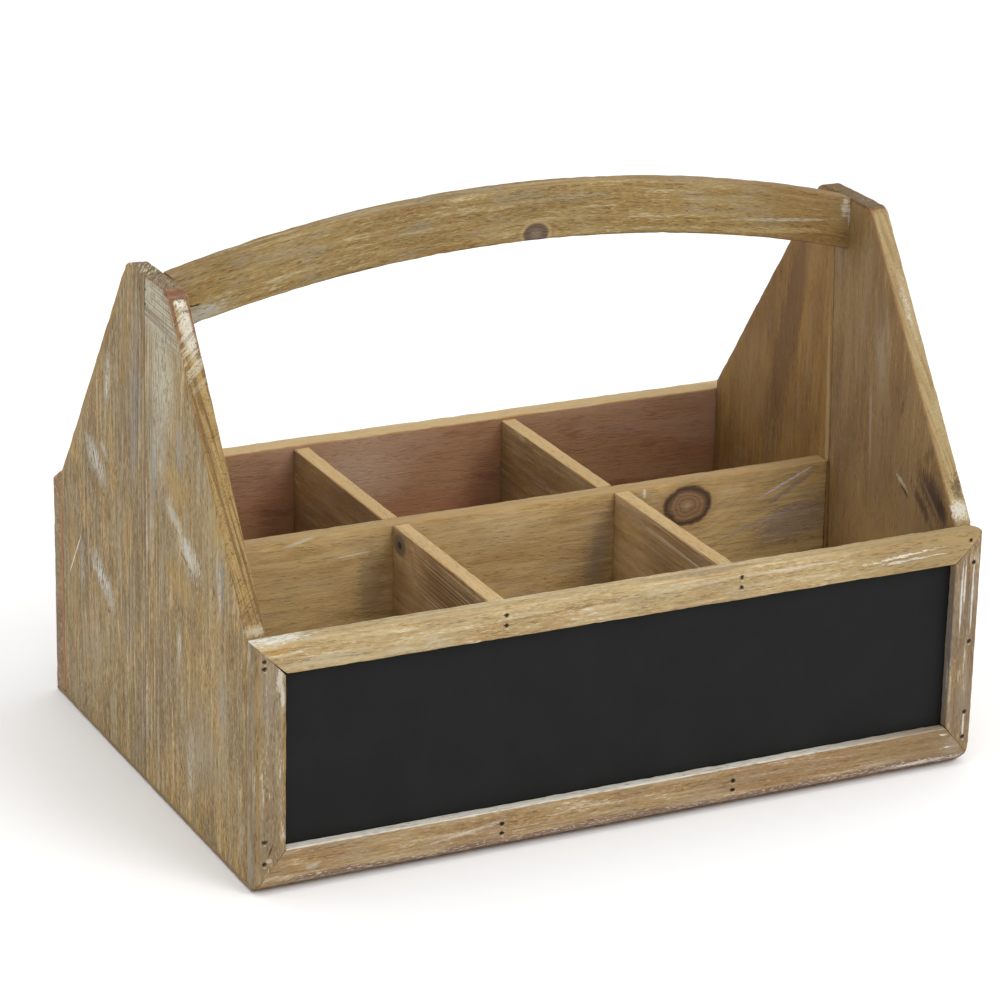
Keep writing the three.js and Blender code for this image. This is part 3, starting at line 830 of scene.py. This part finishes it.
# Cross dividers
# Four short boards that part each row into three bays. They butt against the long divider and against
# the front panel or the back, and the front left one has a small grey knot and long open grain.
cross_boards = {
    "front_left_divider": (99.6, frame_back, divider_near, "E6C594", "A07F57", ((97, 86, 4.4),)),
    "front_right_divider": (194.8, frame_back, divider_near, "D2B17E", "94744C", ()),
    "rear_left_divider": (98.7, divider_far, back_face, "977146", "80603C", ()),
    "rear_right_divider": (191.4, divider_far, back_face, "9E7E54", "80603C", ()),
}
for number, (node, (start, near, far, body, deep, knots)) in enumerate(cross_boards.items()):
    wood = PineFinish(node + "_pine", "y", 14 + number, body, deep, "B89D72", heart=(120, start - 60),
                      ring_gap=4.0, ring_depth=0.3, fibre=0.35, pores=0.3, speckle=0.15,
                      grey=("94897A", 0.2), knots=knots)
    wood.limewash(0.15, "C9BFA9", 0.5)
    if near == frame_back:
        grain_lines = wood.streaks((0, 1, 0.03), 130, 0.65, 1.0)
        open_grain = wood.zone(("z", 46, 70), ("y", 95, 60))
        wood.tint(grain_lines, 0.49, 0.40, "5E452B", 0.6 if knots else 0.2, open_grain)
        pale_lines = wood.times(wood.between(grain_lines, 0.62, 0.69), open_grain)
        wood.lay(pale_lines, "D8CDB6", 0.6)
    for along, across, radius in knots:
        gap = wood.knot_gap(along, across, radius)
        wood.tint(gap, 1.2, 0.7, "7A6F62", 0.9)
        wood.tint(gap, 0.45, 0.2, "3F3530", 0.9)
    wood.tint("z", 91.2, 91.7, "BDA16F", 0.8)
    wood.worn_edges(0.7, "B4854C", 0.7)
    cross_form = square_board((start, near, base_top), (start + 6.8, far, divider_top))
    sawn_piece(node, cross_form, 0.6, wood.done(), 0.35)

# Front panel
# A thin board held in the rebate of the front frame. Its face is painted as a chalkboard, with a fine
# dull grit, and its back, which closes the front bays, is bare pine.
wood = PineFinish("front_panel_pine", "x", 21, "A58A5C", "8A6C44", "BFAA80", heart=(60, 50), ring_gap=4.0,
                  fibre=0.4)
wood.limewash(0.3, "CFC8B6", 0.5)
paint = wood.between("y", 5.5, 5.1)
dust = wood.add("TexNoise", {"Vector": wood.place, "Scale": 0.05, "Detail": 5.0})
paint_grit = wood.add("TexNoise", {"Vector": wood.place, "Scale": 1.6, "Detail": 2.0})
board_black = wood.blend(wood.between(dust, 0.35, 0.7), shade("191919"), shade("1C1C1C"))
board_black = wood.blend(wood.between(paint_grit, 0.6, 0.8), board_black, shade("222221"))
panel_material = wood.done()
painted = wood.blend(paint, wood.colour, board_black)
bare_or_dull = wood.add("MapRange", {"Value": paint, "To Min": 0.72, "To Max": 0.58})
fine_grit = wood.times(paint_grit, 0.12)
paint_height = wood.add("Mix", (paint, wood.height, fine_grit), data_type="FLOAT")
paint_relief = wood.add("Bump", {"Height": paint_height, "Strength": 0.5, "Distance": 0.3 * MM})
wood.shader.inputs["Specular IOR Level"].default_value = 0.12
for entry, socket in (("Base Color", painted), ("Roughness", wood.sum(bare_or_dull, fine_grit)),
                      ("Normal", paint_relief)):
    wood.tree.links.new(socket, wood.shader.inputs[entry])
panel_form = square_board((5.3, lip_depth, 10.3), (294.7, frame_back, 91.3))
sawn_piece("front_panel", panel_form, 0.5, panel_material, 0.1)

# Frame mouldings
# Four mitred lengths of pine moulding with a rounded outer shoulder and a rebate behind for the
# chalkboard, bradded to the ends. The foot is the widest, and the lower right corner is cut off.
frame_high = 96.6
moulding_width = 12.0
foot_width = 14.5
rebate_width = 7.0
mitre_pull = 0.04


def eased_section(corners, roundings, cell):
    """The points round a section with eased corners, and how far each is from the nearest corner, in mm."""
    points = []
    count = len(corners)
    for i in range(count):
        corner = Vector(corners[i])
        back = (Vector(corners[i - 1]) - corner).normalized()
        onward = (Vector(corners[(i + 1) % count]) - corner).normalized()
        size = roundings[i]
        steps = 3 if size < 1.5 else 7
        centre = corner + (back + onward) * size
        for step in range(steps + 1):
            angle = math.pi / 2 * step / steps
            points.append(centre - onward * size * math.cos(angle) - back * size * math.sin(angle))
        start = corner + onward * (size + beside_edge)
        stop = Vector(corners[(i + 1) % count]) - onward * (roundings[(i + 1) % count] + beside_edge)
        parts = max(1, math.ceil((stop - start).length / cell))
        points.extend(start.lerp(stop, part / parts) for part in range(parts + 1))
    near = [min((point - Vector(corner)).length for corner in corners) for point in points]
    return points, near


def drawn_length(rings, near):
    """A closed length through rings of points, one ring a station, with flat ends."""
    form = bmesh.new()
    rows = [[form.verts.new(bench(*point)) for point in ring] for ring in rings]
    size = len(rows[0])
    for row, following in zip(rows, rows[1:]):
        for i in range(size):
            j = (i + 1) % size
            form.faces.new((row[i], row[j], following[j], following[i]))
    form.faces.new(rows[0])
    form.faces.new(rows[-1])
    bmesh.ops.recalc_face_normals(form, faces=form.faces)
    return form, np.array(list(near) * len(rings))


def moulding_length(length, width, slopes, gapes, seat):
    """One moulding with mitred ends: seat turns (along, inward, depth) into a bench point, slopes say how
    far each end runs back for each millimetre inward, and gapes how far its mitre has opened inside."""
    rebate_edge = width - rebate_width
    corners = [(0, 0), (width, 0), (width, lip_depth), (rebate_edge, lip_depth),
               (rebate_edge, frame_back), (0, frame_back)]
    section, near = eased_section(corners, (2.2, 0.5, 0.3, 0.3, 0.3, 0.5), 2.0)
    near = [min(gap, math.hypot(point[0] - 0.6, point[1] - 0.6)) for gap, point in zip(near, section)]
    parts = math.ceil(length / (cell_mm * 0.75))
    shares = sorted({0.0, 0.2 / length, 0.7 / length, *(i / parts for i in range(1, parts)),
                     1 - 0.7 / length, 1 - 0.2 / length, 1.0})
    rings = []
    for share in shares:
        ring = []
        tight = (0.04 + 0.3 * gapes[int(share)]) if share in (0.0, 1.0) else 0.0
        for inward, depth in section:
            opened = (inward / width) ** 2
            begin = inward * slopes[0] + mitre_pull + gapes[0] * opened
            end = length - inward * slopes[1] - mitre_pull - gapes[1] * opened
            shrunk_inward = inward + tight * (1 - 2 * inward / width)
            shrunk_depth = depth + tight * (1 - 2 * depth / frame_back)
            ring.append(seat(begin + (end - begin) * share, shrunk_inward, shrunk_depth))
        rings.append(ring)
    return drawn_length(rings, near)


def front_flecks(finish, pits):
    """The dark bruise and the fleck of white filler at each brad."""
    for x, y, z in pits:
        finish.lay(finish.patch((x, y, z), (1.25, 1.2, 1.1), (0, 0, 0), 0.2, 0.4), "120D0A", 0.95)
        finish.lay(finish.patch((x + 0.3, y, z - 1.4), (0.7, 1, 0.3), (0, 0, 0), 0.4, 0.6), "C9C2B4", 0.6)


rail_pairs = (97.7, 194.5)
top_pits = [(x, 0, z) for x in rail_pairs for z in (93.8, 89.8)] + [(294, 0, 93.8)]
bottom_pits = [(x, 0, z) for x in rail_pairs for z in (11.4, 7.6)]
left_pits = [(3.3, 0, z) for z in (12.5, 21.2, 88.1, 90.8)]
right_pits = [(296, 0, z) for z in (12.2, 22.6, 52.1, 84.6)]
wood = PineFinish("top_rail_pine", "x", 31, "B49F72", "9B8055", "CDBF9C", heart=(80, 60), ring_gap=3.0,
                  ring_depth=0.35, fibre=0.5, speckle=0.3, pores=0.45)
wood.limewash(0.3, "D3CCBB", 0.6)
wood.tint("x", 200, 280, "8F764A", 0.75)
top_back = wood.between("y", 8.1, 8.7)
wood.tint("fibres", 0.40, 0.55, "D2CCBD", 0.7, top_back)
wood.marks(1, (
    ((8, 5, 96.5), (13, 4.2, 1.6), 0, "D6D2C6", 0.9),
    ((4, 8.6, 96.5), (8, 0.6, 1.6), 0, "7A5C34", 0.8),
    ((9, 0, 93.6), (6, 2, 1.2), -6, "AC8346", 0.7),
    ((28, 0, 88.6), (14, 2, 2.2), -3, "A99D84", 0.5),
    ((262, 0, 91.6), (15, 2, 0.6), -4, "D8D3C6", 0.8),
    ((268, 0, 89.8), (12, 2, 0.5), -2, "D3CDBF", 0.7),
    ((214, 0, 94), (20, 2, 0.7), 0, "CFC8B6", 0.5),
    ((120, 0, 92), (30, 2, 0.6), -2, "7F6540", 0.5),
), 0.8)
front_flecks(wood, top_pits)
wood.worn_edges(0.5, "A07A45", 0.5)
top_finish = wood

wood = PineFinish("bottom_rail_pine", "x", 33, "9F855B", "896B46", "B9A888", heart=(30, 60), ring_gap=3.0,
                  ring_depth=0.4, fibre=0.45, speckle=0.3, pores=0.5)
wood.limewash(0.35, "CFC7B5", 0.55)
wood.worn_edges(0.5, "98703F", 0.5)
upper_edge = wood.between("z", 16.2, 16.7)
upper_edge = wood.times(upper_edge, wood.between("fibres", 0.28, 0.46))
wood.lay(upper_edge, "D8D4C8", 0.9)
wood.tint("x", 215, 285, "765C3C", 0.7)
foot_sway = wood.times(wood.less(wood.strands, 0.5), 9)
rough_foot = wood.sum(wood.z, foot_sway)
rough_foot = wood.zone((rough_foot, 6.4, 4.8), ("x", 2, 22))
wood.lay(rough_foot, "735C50", 0.8)
wood.tint("grit", 0.54, 0.62, "C4B8A8", 0.7, rough_foot)
wood.marks(1, (
    ((84, 0, 10.5), (18, 2, 0.6), -8, "C9C3B5", 0.5),
    ((22, 0, 8.6), (3, 2, 1.0), 0, "AFA898", 0.7),
    ((279, 0.6, 4.4), (18, 2, 0.7), 0, "CFCABE", 0.75),
    ((287, 0, 14.3), (1.6, 2, 0.7), 0, "CDC8BB", 0.8),
    ((291, 0, 9), (6, 2, 4), 0, "95897A", 0.5),
    ((290, 0, 8.7), (5, 2, 0.4), 0, "CFCABE", 0.7),
), 0.8)
front_flecks(wood, bottom_pits)
bottom_finish = wood

wood = PineFinish("left_stile_pine", "z", 35, "8C7753", "756040", "A2947A", heart=(-30, 50), ring_gap=2.8,
                  ring_depth=0.3, fibre=0.45, speckle=0.4, pores=0.6)
wood.limewash(0.35, "C9C2B2", 0.55)
wood.marks(1, (
    ((5.2, 0, 77), (3.4, 2, 12), 0, "827467", 0.6),
    ((6, 0, 45), (3.6, 2, 30), 0, "7D6A56", 0.5),
    ((1.4, 1, 60), (1.6, 2, 50), 0, "947747", 0.5),
    ((11.2, 0, 50), (0.9, 2, 36), 0, "96723C", 0.6),
    ((1, 6, 12), (2, 3, 16), 0, "A79F90", 0.6),
), 0.8, soft=0.9)
wood.marks(1, (
    ((9.4, 0, 84), (1.5, 2, 6), 6, "C2BAAA", 0.7),
    ((10.4, 0, 76), (0.8, 2, 7), 2, "BFB7A8", 0.8),
    ((4.4, 0, 93.2), (1.2, 1, 1.0), -40, "CFC7B6", 0.8),
    ((5.6, 0, 17), (0.35, 2, 2.4), 20, "241B15", 0.8),
    ((5.2, 0, 13.5), (1.4, 2, 1.0), 0, "C2B1A6", 0.6),
), 0.6)
front_flecks(wood, left_pits)
wood.worn_edges(0.45, "A07A45", 0.55)
left_finish = wood

wood = PineFinish("right_stile_pine", "z", 37, "836C50", "6E583F", "988A70", heart=(330, 50), ring_gap=2.8,
                  ring_depth=0.3, fibre=0.4, speckle=0.35, pores=0.5)
wood.limewash(0.3, "C9C2B2", 0.5)
wood.marks(1, (
    ((288, 2, 50), (1.5, 6, 44), 0, "77716A", 0.85),
    ((293.8, 0, 70), (1.2, 2, 22), 0, "6B5644", 0.7),
    ((295.2, 0, 32), (4, 2, 20), 0, "8C7F6C", 0.5),
), 0.6, soft=0.8)
pale_lines = ((291.4, 70, 18), (296.2, 71, 19), (292.6, 76, 12), (295.8, 17, 7))
wood.face_marks(1, 0, 2, [(x, z, 0.55, half, 0, "CBC7C0", 0.8) for x, z, half in pale_lines], 0.35, soft=0.5)
front_flecks(wood, right_pits)
wood.worn_edges(0.5, "9A7040", 0.6)
right_finish = wood

foot_slope = foot_width / moulding_width
stile_height = frame_high - base_top
for node, length, width, slopes, gapes, seat, finish, pits in (
        ("frame_top_rail", caddy_length, moulding_width, (1, 1), (0, 0.16),
         lambda a, i, d: (caddy_length - a, d, frame_high - i), top_finish, top_pits),
        ("frame_bottom_rail", caddy_length, foot_width, (1 / foot_slope, 1 / foot_slope), (0, 0),
         lambda a, i, d: (a, d, base_top + i), bottom_finish, bottom_pits),
        ("frame_left_stile", stile_height, moulding_width, (1, foot_slope), (0.16, 0),
         lambda a, i, d: (i, d, frame_high - a), left_finish, left_pits),
        ("frame_right_stile", stile_height, moulding_width, (foot_slope, 1), (0, 0),
         lambda a, i, d: (caddy_length - i, d, base_top + a), right_finish, right_pits)):
    form, reach = moulding_length(length, width, slopes, gapes, seat)
    if node in ("frame_bottom_rail", "frame_right_stile"):
        shave(form, (296.2, 0, base_top), (5.5, 0, -3.8))
    if node in ("frame_top_rail", "frame_right_stile"):
        shave(form, (298.4, 7.5, frame_high), (2.1, 1.6, 0), 12)
    worn_piece(node, form, reach, finish.done(), 0.3, pits, (0, 1, 0))

# Handle
# An arched board sawn from pine that was bent along its grain, butted between the gables just behind
# the middle of their tops. A dark knot is cut by its lower edge, and its arrises are rubbed orange.
handle_near = 97.2
handle_thickness = 10.0
handle_low = 182.0
handle_high = 203.0
handle_span = right_inside - end_thickness


def arch(x, end_z, rise):
    """The height of a shallow arc over x between the handle's ends."""
    half = handle_span / 2
    radius = (half * half + rise * rise) / (2 * rise)
    offset = x - end_thickness - half
    return end_z + rise - radius + math.sqrt(radius * radius - offset * offset)


wood = PineFinish("handle_pine", "x", 41, "957B48", "7C6237", "A99769", heart=(255, 70), ring_gap=2.6,
                  ring_depth=0.3, fibre=0.5, bend=(150, 142, 19), knots=((154.5, 203.9, 4.6),), pores=0.55,
                  speckle=0.4, warm=("8E6E38", 0.4), grey=("8F887A", 0.35))
wood.limewash(0.35, "B8AF92", 0.55)
wood.tint("x", 215, 285, "7B5C2C", 0.6)
handle_knot = wood.knot_gap(154.5, 203.6, 4.0)
wood.tint(handle_knot, 1.15, 0.9, "5C4A3D", 0.95)
wood.tint(handle_knot, 0.7, 0.2, "7C6A5C", 0.7)
wood.tint(handle_knot, 1.0, 1.2, "B5A37A", 0.4, wood.between(handle_knot, 1.5, 1.2))
wood.face_marks(1, handle_near, 2, (
    (16, 187, 16, 4.4, -14, "ABA596", 0.9),
    (14.5, 191.6, 7, 0.5, -3, "2E241D", 0.95),
    (20, 199.5, 5, 0.5, -8, "8E5C2C", 0.7),
    (262, 197.5, 30, 0.7, 6, "ABA38D", 0.6),
    (117, 202, 16, 0.8, -7, "8E5F2F", 0.6),
    (266, 189.5, 26, 3.2, 4, "6F5028", 0.55),
    (258, 193.6, 24, 1.3, 7, "B09A68", 0.45),
    (289.6, 199, 2.2, 4.6, 0, "BDB6A6", 0.6),
    (291.4, 196, 0.5, 6, 0, "B9B4A6", 0.6),
), 0.6)
wood.worn_edges(0.6, "8C6433", 0.5)
handle_height = handle_high - handle_low
handle_corners = [(0, 0), (handle_thickness, 0), (handle_thickness, handle_height), (0, handle_height)]
handle_section, handle_reach = eased_section(handle_corners, (0.8,) * 4, 2.5)
handle_rings = []
handle_steps = 96
for step in range(handle_steps + 1):
    x = end_thickness + handle_span * step / handle_steps
    low_z = arch(x, handle_low, 18.8)
    rise = (arch(x, handle_high, 19) - low_z) / handle_height
    handle_rings.append([(x, handle_near + y, low_z + rise * z) for y, z in handle_section])
handle_form, handle_reach = drawn_length(handle_rings, handle_reach)
worn_piece("handle", handle_form, handle_reach, wood.done(0.4), 0.4)

# Brads
# Thin headed brads of rusted steel, driven just under the wood: through the mouldings and the gables,
# and through the back and the base into the ends. Each is turned on one profile, from head to point.
rust = PineFinish("brad_rust", "z", 50, "1A1512", "0F0C0A", "33251C", warm=("3A2418", 0.4),
                  grey=("221D1A", 0.3))
brad_material = rust.done(0.1)
brad_tree = bpy.data.node_groups.new("driven_brads", "GeometryNodeTree")
brad_sizes = {"Head Radius": 0.65, "Head Length": 0.6, "Shank Radius": 0.5, "Point Length": 1.2,
              "Sink": 0.3, "Length": 8.0}
brad_tree.interface.new_socket(name="Entries", in_out="INPUT", socket_type="NodeSocketGeometry")
brad_keys = {}
for size_name, size in brad_sizes.items():
    socket = brad_tree.interface.new_socket(name=size_name, in_out="INPUT", socket_type="NodeSocketFloat")
    socket.default_value = size * MM
    brad_keys[size_name] = socket.identifier
brad_tree.interface.new_socket(name="Brads", in_out="OUTPUT", socket_type="NodeSocketGeometry")


def brad_node(kind, inputs=(), output=0, **settings):
    return add_node(brad_tree, kind, inputs, output, **settings)


def brad_math(kind, first, second):
    return brad_node("ShaderNodeMath", (first, second), operation=kind)


def brad_switch(ring, values):
    """The value for each ring of the blank, from the head's face to the point."""
    switch = brad_node("GeometryNodeIndexSwitch", output=None, data_type="FLOAT")
    for _ in values[2:]:
        switch.index_switch_items.new()
    for place, value in enumerate([ring, *values]):
        brad_tree.links.new(value, switch.inputs[place])
    return switch.outputs[0]


size_in = brad_node("NodeGroupInput", output=None).outputs
head_radius = size_in["Head Radius"]
shank_radius = size_in["Shank Radius"]
blank = brad_node("GeometryNodeMeshCylinder",
                  {"Vertices": 12, "Side Segments": 5, "Radius": 1.0, "Depth": 1.0})
blank_x, blank_y, blank_z = brad_node(
    "ShaderNodeSeparateXYZ", (brad_node("GeometryNodeInputPosition"),), None).outputs
blank_ring = brad_math("FLOOR", brad_math("ADD", brad_math("MULTIPLY", blank_z, 5.0), 3.01), 0.0)
head_end = brad_math("ADD", size_in["Sink"], size_in["Head Length"])
head_rim = brad_math("ADD", size_in["Sink"], brad_math("MULTIPLY", size_in["Head Length"], 0.3))
tip = brad_math("ADD", size_in["Sink"], size_in["Length"])
ring_radius = brad_switch(blank_ring, [
    brad_math("MULTIPLY", head_radius, 0.8), head_radius, head_radius, shank_radius, shank_radius,
    brad_math("MULTIPLY", shank_radius, 0.15)])
ring_depth = brad_switch(blank_ring, [
    size_in["Sink"], head_rim, head_end, head_end, brad_math("SUBTRACT", tip, size_in["Point Length"]), tip])
turned_place = brad_node("ShaderNodeCombineXYZ", (
    brad_math("MULTIPLY", blank_x, ring_radius), brad_math("MULTIPLY", blank_y, ring_radius), ring_depth))
turned = brad_node("GeometryNodeSetPosition", {"Geometry": blank, "Position": turned_place})
way_in = brad_node("GeometryNodeInputNamedAttribute", {"Name": "way"}, data_type="FLOAT_VECTOR")
aim = brad_node("FunctionNodeAlignRotationToVector", {"Vector": way_in}, axis="Z")
driven = brad_node("GeometryNodeInstanceOnPoints",
                   {"Points": size_in["Entries"], "Instance": turned, "Rotation": aim})
solid = brad_node("GeometryNodeRealizeInstances", {"Geometry": driven})
rusty = brad_node("GeometryNodeSetMaterial", {"Geometry": solid, "Material": brad_material})
brad_node("NodeGroupOutput", (rusty,), None)

for group, way, length in (
        ("top_rail_brad", (0, 1, 0), 8.0), ("bottom_rail_brad", (0, 1, 0), 8.0),
        ("top_corner_brad", (0, 1, 0), 17.0), ("left_stile_brad", (0, 1, 0), 17.0),
        ("right_stile_brad", (0, 1, 0), 17.0), ("left_handle_brad", (1, 0, 0), 20.0),
        ("right_handle_brad", (-1, 0, 0), 20.0), ("back_brad", (0, -1, 0), 22.0),
        ("base_brad", (0, 0, 1), 15.0)):
    nodes = sorted(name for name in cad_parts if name.startswith(group))
    entries = []
    for node in nodes:
        low, high = (Vector(corner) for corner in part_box(node))
        middle = (low + high) / 2
        half = max(high - low) / 2
        entries.append(middle - Vector(way) * (half + brad_sizes["Sink"] * MM))
    entry_mesh = bpy.data.meshes.new(group + "s")
    entry_mesh.from_pydata(entries, [], [])
    entry_mesh.attributes.new("way", "FLOAT_VECTOR", "POINT").data.foreach_set("vector",
                                                                               [*way] * len(entries))
    brads = new_object(group + "s_steel", entry_mesh)
    driving = brads.modifiers.new("driven", "NODES")
    driving.node_group = brad_tree
    for size_name, size in brad_sizes.items():
        driving[brad_keys[size_name]] = size * MM
    driving[brad_keys["Length"]] = length * MM
    settle(brads)
    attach(brads, "root")
    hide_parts(*nodes)
